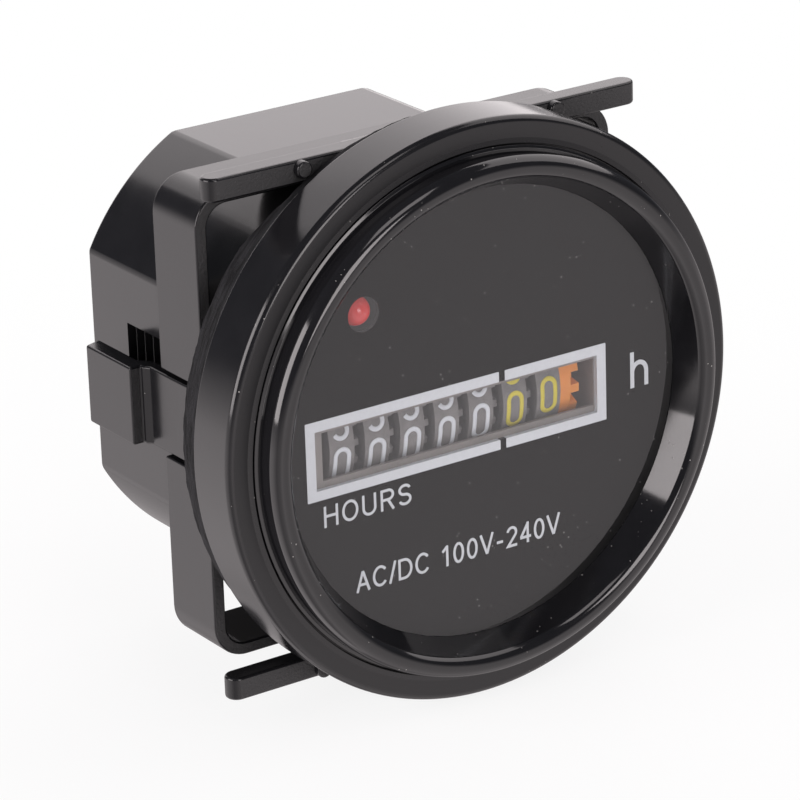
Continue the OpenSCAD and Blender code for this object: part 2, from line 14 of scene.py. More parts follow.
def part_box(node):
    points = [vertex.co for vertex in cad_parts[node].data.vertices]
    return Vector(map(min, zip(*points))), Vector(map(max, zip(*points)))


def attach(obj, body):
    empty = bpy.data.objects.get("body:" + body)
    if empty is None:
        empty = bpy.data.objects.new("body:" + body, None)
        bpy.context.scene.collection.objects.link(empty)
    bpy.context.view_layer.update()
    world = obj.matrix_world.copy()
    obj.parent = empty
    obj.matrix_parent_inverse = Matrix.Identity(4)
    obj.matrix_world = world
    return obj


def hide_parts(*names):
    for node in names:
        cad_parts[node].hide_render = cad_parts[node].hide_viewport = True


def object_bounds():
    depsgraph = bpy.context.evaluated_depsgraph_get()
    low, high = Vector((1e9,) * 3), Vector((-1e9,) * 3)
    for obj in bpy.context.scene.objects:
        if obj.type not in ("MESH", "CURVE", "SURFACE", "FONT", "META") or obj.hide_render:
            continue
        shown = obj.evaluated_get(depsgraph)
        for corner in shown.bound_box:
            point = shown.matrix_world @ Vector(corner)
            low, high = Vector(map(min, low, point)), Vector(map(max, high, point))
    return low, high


bl_info = {
    "name": "Hour meter",
    "version": (1, 0, 0),
    "blender": (4, 5, 0),
    "location": "View3D > Sidebar > Hour meter",
    "description": "Dresses the packed solids of a panel hour meter",
    "category": "Object",
}

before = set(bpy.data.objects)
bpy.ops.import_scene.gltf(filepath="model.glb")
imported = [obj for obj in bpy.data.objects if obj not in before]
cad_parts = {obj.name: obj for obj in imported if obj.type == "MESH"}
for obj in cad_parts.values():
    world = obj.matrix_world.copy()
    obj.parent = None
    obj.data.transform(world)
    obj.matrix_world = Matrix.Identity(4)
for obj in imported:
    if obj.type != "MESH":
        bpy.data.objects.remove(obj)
CAD_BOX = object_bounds()
MM = 0.001
# Depth of the flange's front face in the part's frame
FRONT_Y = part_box("housing")[0].y
# Bodies of the number drums, from the left
DRUM_BODIES = ("ten_thousands_drum", "thousands_drum", "hundreds_drum", "tens_drum",
               "units_drum", "tenths_drum", "hundredths_drum")
# Radius, front and back of the dial, in millimetres like the sizes below
DIAL_R, DIAL_FRONT, DIAL_BACK = 24.4, 0.9, 1.4
# The counter's window in the dial: two corners and the radius of its corners
WINDOW = (-19.43, -3.66, 14.17, 2.44, 0.12)
# The indicator's hole in the dial: radius and centre
INDICATOR_R, INDICATOR = 1.775, (-13.3, 13.0)
# Distance of the terminals from the middle
TERMINAL_X = 9.0
WHITE = (1.0, 1.0, 1.0, 1.0)
DUST = (0.42, 0.41, 0.39, 1.0)


def width_of(node, axis):
    """Size of a CAD node along an axis, in metres."""
    low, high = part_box(node)
    return high[axis] - low[axis]


def length(name, description, default):
    """A length that the user can change, in metres."""
    return FloatProperty(name=name, description=description, default=default, unit="LENGTH")


def tint(name, description, default):
    """A colour that the user can change."""
    return FloatVectorProperty(
        name=name, description=description, default=default, subtype="COLOR")


class HourMeterSizes(bpy.types.PropertyGroup):
    """Sizes that the dressed pieces share."""

    flange_d: length(
        "Flange diameter", "Outside diameter of the round flange", width_of("housing", 0))
    flange_depth: length("Flange depth", "Depth of the flange's rim", 0.0063)
    body_w: length("Body width", "Width of the body across its flats", 0.0443)
    flat_len: length("Flat length", "Length of the body's straight sides", 0.0234)
    body_depth: length(
        "Body depth", "Distance from the flange's front to the body's back", width_of("housing", 1))
    edge_r: length("Edge radius", "Rounding of the moulded edges", 0.0003)
    print_t: length("Print thickness", "Thickness of the printed ink", 0.00003)
    drum_r: length("Drum radius", "Radius of a number drum", width_of("drum_7", 1) / 2)
    drum_pitch: length("Drum pitch", "Distance between neighbouring drums", 0.0041)
    stroke: length("Figure stroke", "Line width of the drum figures", 0.0005)
    turn_steps: IntProperty(
        name="Turning steps", description="Facets round a turned piece",
        default=240, min=48, max=360)


class HourMeterColours(bpy.types.PropertyGroup):
    """Colours of the finishes."""

    case: tint("Case", "Satin black moulding", (0.007, 0.007, 0.008))
    ring: tint("Lens ring", "Polished black moulding", (0.007, 0.007, 0.008))
    dial: tint("Dial", "Black of the dial", (0.004, 0.0038, 0.004))
    ink: tint("Ink", "White print of the dial", (0.575, 0.6, 0.62))
    figure: tint("Hour figures", "White figures", (0.7, 0.72, 0.74))
    fraction: tint("Fraction figures", "Yellow figures", (0.68, 0.57, 0.03))
    drum: tint("Drums", "Dark plastic of the drums", (0.15, 0.14, 0.132))
    drive: tint("Drive wheel", "Orange plastic", (0.86, 0.28, 0.02))
    mask: tint("Counter frame", "Grey-brown plastic", (0.19, 0.17, 0.153))
    lamp: tint("Lamp", "Tinted resin of the lamp", (0.5, 0.015, 0.012))
    foam: tint("Gasket", "Foam rubber", (0.009, 0.009, 0.01))


def sizes_mm(context):
    """The sizes in millimetres, by name."""
    group = context.scene.hour_meter_sizes
    names = [n for n in HourMeterSizes.__annotations__ if n != "turn_steps"]
    return {n: getattr(group, n) / MM for n in names}


# Drawing


def filleted(corners, steps=6):
    """An outline of (a, b, radius) corners with its corners rounded."""
    points = []
    for i, (a, b, radius) in enumerate(corners):
        here = Vector((a, b))
        if radius <= 0:
            points.append((a, b))
            continue
        back = Vector(corners[i - 1][:2]) - here
        ahead = Vector(corners[(i + 1) % len(corners)][:2]) - here
        half = back.angle(ahead) / 2
        reach = min(radius / math.tan(half), 0.49 * back.length, 0.49 * ahead.length)
        radius = reach * math.tan(half)
        inward = (back.normalized() + ahead.normalized()).normalized()
        middle = here + inward * radius / math.sin(half)
        first = here + back.normalized() * reach - middle
        last = here + ahead.normalized() * reach - middle
        sweep = first.angle_signed(last)
        for step in range(steps + 1):
            points.append(tuple(middle + Matrix.Rotation(-sweep * step / steps, 2) @ first))
    return points


def rectangle(x0, z0, x1, z1, radius=0.0, steps=6):
    """Outline of a rectangle with rounded corners."""
    corners = ((x0, z0), (x1, z0), (x1, z1), (x0, z1))
    return filleted([(x, z, radius) for x, z in corners], steps)


def body_outline(half, r, steps=24):
    """The body's outline: a circle of radius r with four flats at a half width."""
    lean = math.acos(half / r)
    points = []
    for quarter in range(4):
        for step in range(steps + 1):
            angle = quarter * math.pi / 2 + lean + (math.pi / 2 - 2 * lean) * step / steps
            points.append((r * math.cos(angle), r * math.sin(angle)))
    return points


def gear_outline(teeth, module, tip, root, wide, narrow):
    """Outline of a gear with straight flanks, as (y, z) points."""
    radius = module * teeth / 2
    step = math.tau / teeth
    points = []
    for tooth in range(teeth):
        for reach, lean in ((-root, -wide), (tip, -narrow), (tip, narrow), (-root, wide)):
            angle = step * (tooth + lean)
            r = radius + reach * module
            points.append((r * math.cos(angle), r * math.sin(angle)))
    return points


def pick(piece):
    """Makes a piece the only selected object."""
    if bpy.context.object and bpy.context.object.mode != "OBJECT":
        bpy.ops.object.mode_set(mode="OBJECT")
    bpy.ops.object.select_all(action="DESELECT")
    if piece:
        piece.select_set(True)
        bpy.context.view_layer.objects.active = piece


def outline_piece(name, points):
    """A closed line: a circle with one corner for each point, each moved to its place."""
    pick(None)
    bpy.ops.mesh.primitive_circle_add(vertices=len(points), radius=1.0, fill_type="NOTHING")
    piece = bpy.context.object
    piece.name = name
    for corner, place in zip(piece.data.vertices, points):
        corner.co = place
    bpy.ops.object.mode_set(mode="EDIT")
    bpy.ops.mesh.select_all(action="SELECT")
    return piece


def close_up():
    """Merges doubles, turns the faces outwards and leaves edit mode."""
    bpy.ops.mesh.select_all(action="SELECT")
    bpy.ops.mesh.remove_doubles(threshold=1e-4)
    bpy.ops.mesh.delete_loose()
    bpy.ops.mesh.select_all(action="SELECT")
    bpy.ops.mesh.normals_make_consistent(inside=False)
    bpy.ops.object.mode_set(mode="OBJECT")


def turned(name, profile, steps, axis=1):
    """Spins a profile of (radius, depth) about Y, or of (radius, place) about X."""
    points = [(r, d, 0.0) if axis == 1 else (d, r, 0.0) for r, d in profile]
    piece = outline_piece(name, points)
    spin_axis = (0.0, 1.0, 0.0) if axis == 1 else (1.0, 0.0, 0.0)
    bpy.ops.mesh.spin(steps=steps, angle=math.tau, center=(0.0, 0.0, 0.0), axis=spin_axis)
    close_up()
    return piece


def extruded(name, points, push):
    """Fills an outline of points and pushes it along a vector."""
    piece = outline_piece(name, points)
    bpy.ops.mesh.edge_face_add()
    bpy.ops.mesh.extrude_region_move(TRANSFORM_OT_translate={"value": push})
    close_up()
    return piece


def slab(name, outline, y0, y1):
    """An outline of X and Z with a depth."""
    return extruded(name, [(x, y0, z) for x, z in outline], (0.0, y1 - y0, 0.0))


def plank(name, outline, z0, z1):
    """An outline of X and Y with a height."""
    return extruded(name, [(x, y, z0) for x, y in outline], (0.0, 0.0, z1 - z0))


def strip(name, outline, x0, x1):
    """An outline of Y and Z with a width along X."""
    return extruded(name, [(x0, y, z) for y, z in outline], (x1 - x0, 0.0, 0.0))


def disc(radius, centre=(0.0, 0.0), steps=64):
    """Outline of a circle."""
    return [(centre[0] + radius * math.cos(math.tau * i / steps),
             centre[1] + radius * math.sin(math.tau * i / steps)) for i in range(steps)]


def apply(piece, kind, **settings):
    """Adds a modifier with its settings and applies it."""
    pick(piece)
    modifier = piece.modifiers.new(kind.lower(), kind)
    for key, value in settings.items():
        setattr(modifier, key, value)
    bpy.ops.object.modifier_apply(modifier=modifier.name)


def soften(piece, width, segments=3, angle=30.0):
    """Rounds the sharp edges of a piece."""
    apply(piece, "BEVEL", width=width, segments=segments, limit_method="ANGLE",
          angle_limit=math.radians(angle), use_clamp_overlap=True)


def fuse(piece, tool, operation="UNION"):
    """Joins a tool to a piece, and deletes the tool."""
    apply(piece, "BOOLEAN", object=tool, operation=operation, solver="EXACT")
    bpy.data.objects.remove(tool, do_unlink=True)


def cut(piece, tool):
    """Cuts a tool out of a piece, and deletes the tool."""
    fuse(piece, tool, "DIFFERENCE")


def join(pieces, name):
    """Makes one object of several."""
    pick(pieces[0])
    for other in pieces[1:]:
        other.select_set(True)
    bpy.ops.object.join()
    pieces[0].name = name
    return pieces[0]


def copy_of(piece, name):
    """A copy of a piece with a mesh of its own."""
    pick(piece)
    bpy.ops.object.duplicate()
    copy = bpy.context.object
    copy.name = name
    return copy


def mirrored(piece, axis):
    """A copy of a piece, mirrored through the origin plane of an axis."""
    copy = copy_of(piece, piece.name + "_mirrored")
    copy.data.transform(Matrix.Scale(-1.0, 4, Vector([float(i == axis) for i in range(3)])))
    bpy.ops.object.mode_set(mode="EDIT")
    bpy.ops.mesh.select_all(action="SELECT")
    bpy.ops.mesh.flip_normals()
    bpy.ops.object.mode_set(mode="OBJECT")
    return copy


def shade(piece, angle=32.0):
    """Smooth shading that keeps flats flat beside rounded edges."""
    pick(piece)
    bpy.ops.object.shade_smooth_by_angle(angle=math.radians(angle))
    apply(piece, "WEIGHTED_NORMAL", keep_sharp=True, weight=80)


def settle(piece, body, finish, nodes=()):
    """Moves a drawn piece into the part's frame, and seats it on its body."""
    pick(piece)
    piece.scale = (MM, MM, MM)
    piece.location = (0.0, FRONT_Y, 0.0)
    bpy.ops.object.transform_apply(location=True, rotation=True, scale=True)
    piece.data.materials.clear()
    piece.data.materials.append(finish)
    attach(piece, body)
    if nodes:
        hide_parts(*nodes)


# Letters and figures


def oval(x, z, rx, rz, start, end, step=9.0):
    """Points of an elliptic arc, about a step apart, in degrees."""
    count = max(4, round(abs(end - start) / step))
    angles = [math.radians(start + (end - start) * i / count) for i in range(count + 1)]
    return [(x + rx * math.cos(a), z + rz * math.sin(a)) for a in angles]


def ribbon(line, width):
    """Outline of a line drawn with a width and square ends."""
    line = [point for i, point in enumerate(line)
            if not i or math.dist(point, line[i - 1]) > 1e-6]
    sides = ([], [])
    for i, point in enumerate(line):
        here = Vector(point)
        ways = [Vector(line[j]) - Vector(line[j - 1]) for j in (i, i + 1) if 0 < j < len(line)]
        along = sum((way.normalized() for way in ways), Vector((0.0, 0.0))).normalized()
        narrow = max(along.dot(ways[0].normalized()), 0.35)
        across = Vector((-along.y, along.x)) * width / 2 / narrow
        sides[0].append(tuple(here + across))
        sides[1].append(tuple(here - across))
    return sides[0] + sides[1][::-1]


def letter_lines(sign):
    """Width and centre lines of a printed letter, on a height of 1."""
    stem = [(0.08, 0.0), (0.08, 1.0)]
    return {
        " ": (0.3, []),
        "-": (0.42, [[(0.06, 0.4), (0.36, 0.4)]]),
        "/": (0.28, [[(0.0, -0.02), (0.28, 1.02)]]),
        "0": (0.56, [oval(0.28, 0.5, 0.21, 0.44, turn, turn + 180) for turn in (90, 270)]),
        "1": (0.5, [[(0.1, 0.72), (0.32, 0.95)], [(0.33, 0.0), (0.33, 1.0)]]),
        "2": (0.56, [oval(0.28, 0.7, 0.21, 0.24, 170, -35) + [(0.08, 0.06), (0.53, 0.06)]]),
        "4": (0.58, [[(0.4, 0.0), (0.4, 1.0)], [(0.42, 0.97), (0.05, 0.3)],
                     [(0.02, 0.29), (0.56, 0.29)]]),
        "A": (0.68, [[(0.05, 0.0), (0.34, 0.97)], [(0.63, 0.0), (0.34, 0.97)],
                     [(0.14, 0.34), (0.54, 0.34)]]),
        "C": (0.72, [oval(0.38, 0.5, 0.31, 0.44, 38, 322)]),
        "D": (0.72, [stem, [(0.08, 0.94), (0.32, 0.94)]
                     + oval(0.32, 0.5, 0.33, 0.44, 90, -90) + [(0.08, 0.06)]]),
        "H": (0.72, [stem, [(0.64, 0.0), (0.64, 1.0)], [(0.08, 0.53), (0.64, 0.53)]]),
        "O": (0.78, [oval(0.39, 0.5, 0.33, 0.44, turn, turn + 180) for turn in (90, 270)]),
        "R": (0.7, [stem, [(0.08, 0.94), (0.4, 0.94)]
                    + oval(0.4, 0.72, 0.22, 0.22, 90, -90) + [(0.08, 0.5)],
                    [(0.37, 0.5), (0.64, 0.0)]]),
        "S": (0.66, [oval(0.33, 0.725, 0.25, 0.215, 20, 270)
                     + oval(0.33, 0.285, 0.26, 0.225, 90, -160)]),
        "U": (0.72, [[(0.08, 1.0)] + oval(0.36, 0.35, 0.28, 0.29, 180, 360) + [(0.64, 1.0)]]),
        "V": (0.66, [[(0.03, 1.0), (0.33, 0.03)], [(0.63, 1.0), (0.33, 0.03)]]),
        "h": (0.58, [stem, oval(0.29, 0.41, 0.21, 0.27, 180, 0) + [(0.5, 0.0)]]),
    }[sign]


def bend(x, z, r, start, end):
    """Points of a round arc in a figure, in degrees."""
    return oval(x, z, r, r, start, end, 10.0)


def finely(line, step=0.22):
    """A line with points no further apart than a step."""
    points = [line[0]]
    for (x0, z0), (x1, z1) in zip(line, line[1:]):
        count = max(1, math.ceil(math.hypot(x1 - x0, z1 - z0) / step))
        points += [(x0 + (x1 - x0) * i / count, z0 + (z1 - z0) * i / count)
                   for i in range(1, count + 1)]
    return points


def figure_lines(number):
    """Centre lines of a counter figure in millimetres."""
    r, top = 0.78, 1.725
    e = top - r
    loop = bend(0, -0.55, r, 0, 180) + bend(0, -e, r, 180, 360)
    six = [loop + loop[:1], [(-r, -0.55)] + bend(0, e, r, 180, 25)]
    nought = bend(0, e, r, 0, 180) + bend(0, -e, r, 180, 360)
    lines = {
        0: [nought + nought[:1]],
        1: [[(-0.45, 1.1), (0.15, top), (0.15, -top)]],
        2: [bend(0, e, r, 170, -35) + [(-r, -top), (r, -top)]],
        3: [bend(0, 0.9, 0.825, 150, -90) + bend(0, -0.85, 0.875, 90, -150)],
        4: [[(0.4, -top), (0.4, top), (-r, -0.75), (r, -0.75)]],
        5: [[(0.72, top), (-0.66, top), (-0.72, 0.12)] + bend(0, -0.825, 0.9, 115, -150)],
        6: six,
        7: [[(-r, top), (r, top), (-0.15, -top)]],
        8: [bend(0, 0.925, 0.8, -90, 270), bend(0, -0.8, 0.925, 90, 450)],
        9: [[(-x, -z) for x, z in line] for line in six],
    }[number]
    return [finely(line) for line in lines]


# Finishes


class Channel:
    """A shader socket that adds Math nodes when it is used in arithmetic."""

    def __init__(self, finish, socket):
        self.finish = finish
        self.socket = socket

    def _math(self, operation, a, b):
        return self.finish.node("ShaderNodeMath", {"operation": operation}, {0: a, 1: b})

    def __add__(self, other):
        return self._math("ADD", self, other)

    __radd__ = __add__

    def __rsub__(self, other):
        return self._math("SUBTRACT", other, self)

    def __mul__(self, other):
        return self._math("MULTIPLY", self, other)

    __rmul__ = __mul__

    def __gt__(self, other):
        return self._math("GREATER_THAN", self, other)

    def __lt__(self, other):
        return self._math("LESS_THAN", self, other)


class Finish:
    """A procedural material while it is being made."""

    def __init__(self, name, tree=None):
        self.material = None
        if tree is None:
            self.material = bpy.data.materials.new(name)
            self.material.use_nodes = True
            tree = self.material.node_tree
        self.tree = tree
        self.tree.nodes.clear()

    def node(self, kind, settings=None, inputs=None, out=0):
        """Adds a node: its settings first, then its sockets, and gives one output."""
        made = self.tree.nodes.new(kind)
        for key, value in (settings or {}).items():
            if key == "stops":
                ramp = made.color_ramp
                while len(ramp.elements) < len(value):
                    ramp.elements.new(0.5)
                for element, (place, colour) in zip(ramp.elements, value):
                    element.position = place
                    element.color = colour
            else:
                setattr(made, key, value)
        for key, value in (inputs or {}).items():
            if isinstance(value, Channel):
                self.tree.links.new(value.socket, made.inputs[key])
            else:
                made.inputs[key].default_value = value
        return Channel(self, made.outputs[out]) if made.outputs else None

    def place(self, stretch=(1.0, 1.0, 1.0)):
        """Object coordinates, stretched along the axes."""
        coords = self.node("ShaderNodeTexCoord", out="Object")
        return self.node("ShaderNodeMapping", inputs={"Vector": coords, "Scale": stretch})

    def cloud(self, size, detail=2.0, stretch=(1.0, 1.0, 1.0)):
        """Noise from 0 to 1 with features of about a size in millimetres."""
        return self.node("ShaderNodeTexNoise", inputs={
            "Vector": self.place(stretch), "Scale": 1.0 / (size * MM), "Detail": detail})

    def cells(self, size):
        """Distance to the nearest of random points, a size in millimetres apart."""
        return self.node("ShaderNodeTexVoronoi", inputs={
            "Vector": self.place(), "Scale": 1.0 / (size * MM)})

    def blend(self, share, first, second):
        """Two colours mixed by a share."""
        return self.node("ShaderNodeMix", {"data_type": "RGBA"}, {
            "Factor": share, 6: first, 7: second}, out=2)

    def ramp(self, value, low, high):
        """A value from 0 at low to 1 at high."""
        return self.node("ShaderNodeMapRange", inputs={
            "Value": value, "From Min": low, "From Max": high})

    def bump(self, height, depth):
        """Surface relief with a depth in millimetres."""
        return self.node("ShaderNodeBump", inputs={
            "Height": height, "Strength": 1.0, "Distance": depth * MM})

    def surface(self, **inputs):
        """A Principled shader with sockets named as in inputs, and the output."""
        named = {key.replace("_", " "): value for key, value in inputs.items()}
        shader = self.node("ShaderNodeBsdfPrincipled", inputs=named)
        self.finish(shader)
        return self.material

    def finish(self, shader):
        """Connects a shader to the output."""
        self.node("ShaderNodeOutputMaterial", inputs={"Surface": shader})


def rgba(colour, strength=1.0):
    """A colour with an alpha, made lighter or darker."""
    return tuple(c * strength for c in colour) + (1.0,)


def moulded(name, colour, rough, grain, grain_depth, dust=0.0, gloss=0.5,
            front_rough=0.0, front_grain=0.0, front_painted_light=0.0):
    """Moulded plastic: fine grain, coarser on faces that look forward, and specks of dust; faces
    that look forward can also get painted light, a lighter colour.
    """
    f = Finish(name)
    mottle = f.cloud(3.0, 3.0)
    fine = f.cloud(grain, 2.0)
    colour_mix = f.blend(mottle, rgba(colour, 0.75), rgba(colour, 1.3))
    roughness = rough - 0.05 + 0.07 * mottle + 0.05 * fine
    normal = f.node("ShaderNodeNewGeometry", out="Normal")
    ahead = 0.0 - f.node("ShaderNodeSeparateXYZ", inputs={0: normal}, out="Y")
    if dust:
        specks = (f.cells(0.8) < 0.1) * (f.cloud(4.0, 1.0) > 0.62 - dust)
        lint = f.ramp(f.cloud(0.35, 1.0, (1.0, 0.35, 1.0)), 0.77, 0.8) * (f.cloud(2.5) > 0.6)
        marks = f.node("ShaderNodeMath", {"operation": "MAXIMUM"}, {0: specks, 1: lint})
        marks = marks * f.ramp(ahead, 0.1, 0.7)
        colour_mix = f.blend(marks * 0.5, colour_mix, DUST)
        roughness = roughness + 0.3 * marks
    relief = f.bump(fine, grain_depth)
    if front_rough:
        flat = f.ramp(ahead, 0.97, 1.0)
        roughness = roughness + front_rough * flat
        # Painted light: the colour of faces that look forward is made lighter by a set amount, as
        # if they were lit more
        colour_mix = f.blend(flat, colour_mix, rgba([c + front_painted_light for c in colour]))
        relief = f.bump(fine * grain_depth + f.cloud(0.25, 2.0) * flat * front_grain, 1.0)
    return f.surface(
        Base_Color=colour_mix, Roughness=roughness, Normal=relief, Specular_IOR_Level=gloss)


def clear_lens(name):
    """Thin clear sheet with a coat against glare, so that it mirrors only weakly."""
    f = Finish(name)
    facing = 1.0 - f.node("ShaderNodeNewGeometry", out="Backfacing")
    gloss = f.node("ShaderNodeMath", {"operation": "MINIMUM"}, {
        0: f.node("ShaderNodeFresnel", inputs={"IOR": 1.5}), 1: 0.1}) * facing
    sheet = f.node("ShaderNodeBsdfTransparent", inputs={"Color": (0.97, 0.975, 0.98, 1.0)})
    mirror = f.node("ShaderNodeBsdfPrincipled", inputs={
        "Base Color": (0.95, 0.96, 0.97, 1.0), "Metallic": 1.0, "Roughness": 0.03})
    f.finish(f.node("ShaderNodeMixShader", inputs={0: gloss, 1: sheet, 2: mirror}))
    return f.material


def inked(name, colour):
    """Printed ink: slightly uneven cover and a dull sheen."""
    f = Finish(name)
    cover = f.cloud(0.5, 3.0)
    fine = f.cloud(0.08, 2.0)
    return f.surface(
        Base_Color=f.blend(cover, rgba(colour, 0.9), rgba(colour, 1.04)),
        Roughness=0.45 + 0.15 * fine, Normal=f.bump(fine, 0.004))


def metal(name, colour, rough, stretch):
    """Drawn or ground metal with lines along the short stretch."""
    f = Finish(name)
    lines = f.cloud(0.12, 3.0, stretch)
    tarnish = f.cloud(2.0, 3.0)
    return f.surface(
        Base_Color=f.blend(tarnish, rgba(colour, 0.82), rgba(colour, 1.05)), Metallic=1.0,
        Roughness=rough + 0.14 * lines + 0.06 * tarnish, Normal=f.bump(lines, 0.004))


def foam(name, colour):
    """Foam rubber: fine cells and drag lines from the cutter."""
    f = Finish(name)
    pores = f.cells(0.22)
    drag = f.cloud(0.2, 3.0, (0.08, 1.0, 0.08))
    return f.surface(
        Base_Color=f.blend(f.ramp(drag, 0.35, 0.65), rgba(colour, 0.3), rgba(colour, 2.2)),
        Roughness=0.62 + 0.2 * drag, Normal=f.bump(pores * 0.5 + drag, 0.09),
        Specular_IOR_Level=0.12)


def drum_plastic(name, colour):
    """Dark drum plastic with fine rings left by the tool."""
    f = Finish(name)
    rings = f.cloud(0.09, 2.0, (1.0, 0.02, 0.02))
    scuff = f.cloud(0.7, 3.0)
    return f.surface(
        Base_Color=f.blend(scuff, rgba(colour, 0.7), rgba(colour, 1.5)),
        Roughness=0.3 + 0.2 * scuff, Normal=f.bump(rings, 0.006))


def tinted_plastic(name, colour, rough, depth, glow=0.0):
    """Coloured plastic that lets a little light into it, and glows evenly at a given strength."""
    f = Finish(name)
    flow = f.cloud(1.6, 3.0)
    return f.surface(
        Base_Color=f.blend(flow, rgba(colour, 0.8), rgba(colour, 1.12)),
        Roughness=rough + 0.1 * flow, Emission_Color=rgba(colour), Emission_Strength=glow,
        Subsurface_Weight=depth, Subsurface_Scale=1.0,
        Subsurface_Radius=(0.6 * MM, 0.25 * MM, 0.1 * MM),
        Normal=f.bump(f.cloud(0.15), 0.004))


def wound_copper(name):
    """Enamelled wire, turn beside turn."""
    f = Finish(name)
    turns = f.node("ShaderNodeTexWave", {"bands_direction": "Y"}, {
        "Vector": f.place(), "Scale": 1.0 / (0.9 * MM), "Distortion": 0.4})
    return f.surface(
        Base_Color=f.blend(turns, (0.2, 0.06, 0.02, 1.0), (0.62, 0.25, 0.09, 1.0)), Metallic=0.7,
        Roughness=0.3 + 0.2 * turns, Normal=f.bump(turns, 0.03))


def lacquered_board(name):
    """Green board with copper tracks showing through its lacquer."""
    f = Finish(name)
    upright = f.node("ShaderNodeMapping", inputs={
        "Vector": f.node("ShaderNodeTexCoord", out="Object"),
        "Rotation": (math.pi / 2, 0.0, 0.0)})
    tracks = f.node("ShaderNodeTexBrick", inputs={
        "Vector": upright, "Scale": 400.0, "Mortar Size": 0.06}, out="Fac")
    weave = f.cloud(0.4, 2.0)
    return f.surface(
        Base_Color=f.blend(tracks, (0.02, 0.12, 0.05, 1.0), (0.06, 0.22, 0.08, 1.0)),
        Roughness=0.3 + 0.15 * weave, Normal=f.bump(tracks, 0.02))


# Pieces


class HOURMETER_OT_housing(bpy.types.Operator):
    """Case moulded in one: round flange, body with four flats and ratchet teeth"""

    bl_idname = "hour_meter.housing"
    bl_label = "Housing"

    def execute(self, context):
        s = sizes_mm(context)
        r, depth, wall = s["body_w"] / 2, s["body_depth"], 2.0
        corner_r = math.hypot(r, s["flat_len"] / 2)
        steps = context.scene.hour_meter_sizes.turn_steps
        housing = slab("housing_shell", body_outline(r, corner_r), 4.0, depth)
        soften(housing, 1.4 * s["edge_r"], 4, 20.0)
        fuse(housing, turned("flange", self.flange(s), steps))
        hollow, bore = body_outline(r - wall, corner_r - wall), disc(24.0, steps=120)
        cut(housing, slab("hollow", hollow, 3.0, depth - wall))
        cut(housing, slab("bore", bore, 3.5, s["flange_depth"] - 0.6))
        for side in (-1.0, 1.0):
            cut(housing, self.rack(side, r))
            x = side * TERMINAL_X
            slot = rectangle(x - 0.45, -3.2, x + 0.45, 3.2)
            cut(housing, slab("slot", slot, depth - 3.0, depth + 1.0))
        shade(housing)
        finish = moulded("satin_black_case", context.scene.hour_meter_colours.case, rough=0.14,
                         grain=0.14, grain_depth=0.001, dust=0.07, gloss=0.4, front_rough=0.22)
        settle(housing, "case", finish, ["housing"])
        return {"FINISHED"}

    def flange(self, s):
        """Profile of the flange: shoulder behind the ring, groove, lip and rim."""
        edge, rim = s["flange_d"] / 2, s["flange_depth"]
        inner, groove_r, lip_r, shoulder, groove = 11.7, 25.9, 27.02, 4.0, 0.5
        return filleted([
            (inner, rim, 0), (inner, shoulder, 0), (groove_r, shoulder, 0), (groove_r, groove, 0),
            (lip_r, groove, 0.05), (lip_r, -0.1, 0.07), (27.6, 0.0, 0.4),
            (edge, 0.0, 0.7), (edge, rim, 0.3)], steps=10)

    def rack(self, side, r):
        """Cutter for the ratchet teeth of one side: steep faces look forward."""
        end, pitch, teeth = 30.48, 1.6, 10
        outside, root, tip = side * (r + 1.0), side * (r - 0.95), side * (r - 0.07)
        points = [(outside, end)]
        for tooth in range(teeth):
            y = end - tooth * pitch
            points += [(root, y), (tip, y - pitch)]
        points.append((outside, end - teeth * pitch))
        cutter = plank("rack", points, -5.9, 5.9)
        soften(cutter, 0.09, 2, 40.0)
        return cutter


class HOURMETER_OT_lens_ring(bpy.types.Operator):
    """Raised glossy ring that holds the lens: a conical wall inside, a round bead and a foot"""

    bl_idname = "hour_meter.lens_ring"
    bl_label = "Lens ring"

    def execute(self, context):
        lip_r, bead_r, bead, crest = 22.95, 25.3, 1.22, 3.12
        foot_r, stem_r, wall_r, seat, foot, end = 26.85, 25.85, 24.6, 0.1, 0.5, 3.9
        away = Vector((bead_r - lip_r, crest - bead))
        first = math.pi / 2 + math.atan2(away.y, away.x) + math.asin(bead / away.length)
        angles = [first * (1 - i / 28) for i in range(29)]
        round_bead = [(bead_r + bead * math.cos(a), bead - crest - bead * math.sin(a), 0)
                      for a in angles]
        profile = filleted([(lip_r, seat, 0.04)] + round_bead + [
            (bead_r + bead, -0.15, 0.1), (foot_r, -0.03, 0.05), (foot_r, foot, 0),
            (stem_r, foot, 0), (stem_r, end, 0.1), (wall_r, end, 0.1), (wall_r, seat, 0)], steps=8)
        ring = turned("lens_ring_turned", profile, context.scene.hour_meter_sizes.turn_steps)
        shade(ring)
        finish = moulded("polished_black_ring", context.scene.hour_meter_colours.ring, rough=0.08,
                         grain=0.3, grain_depth=0.0004, dust=0.07)
        settle(ring, "case", finish, ["lens_ring"])
        return {"FINISHED"}


class HOURMETER_OT_lens(bpy.types.Operator):
    """Clear disc behind the ring's lip, with clear panes in the dial's openings"""

    bl_idname = "hour_meter.lens"
    bl_label = "Lens"

    def execute(self, context):
        front, back = 0.1, DIAL_FRONT - 1.5 * sizes_mm(context)["print_t"]
        pane_front, pane_back = 0.92, 0.96
        lens = slab("lens_sheet", disc(DIAL_R, steps=180), front, back)
        soften(lens, 0.08, 2)
        window = slab("window_pane", rectangle(*WINDOW), pane_front, pane_back)
        hole = slab("indicator_pane", disc(INDICATOR_R, INDICATOR), pane_front, pane_back)
        lens = join([lens, window, hole], "lens_sheet")
        shade(lens)
        settle(lens, "case", clear_lens("clear_lens"), ["lens"])
        return {"FINISHED"}


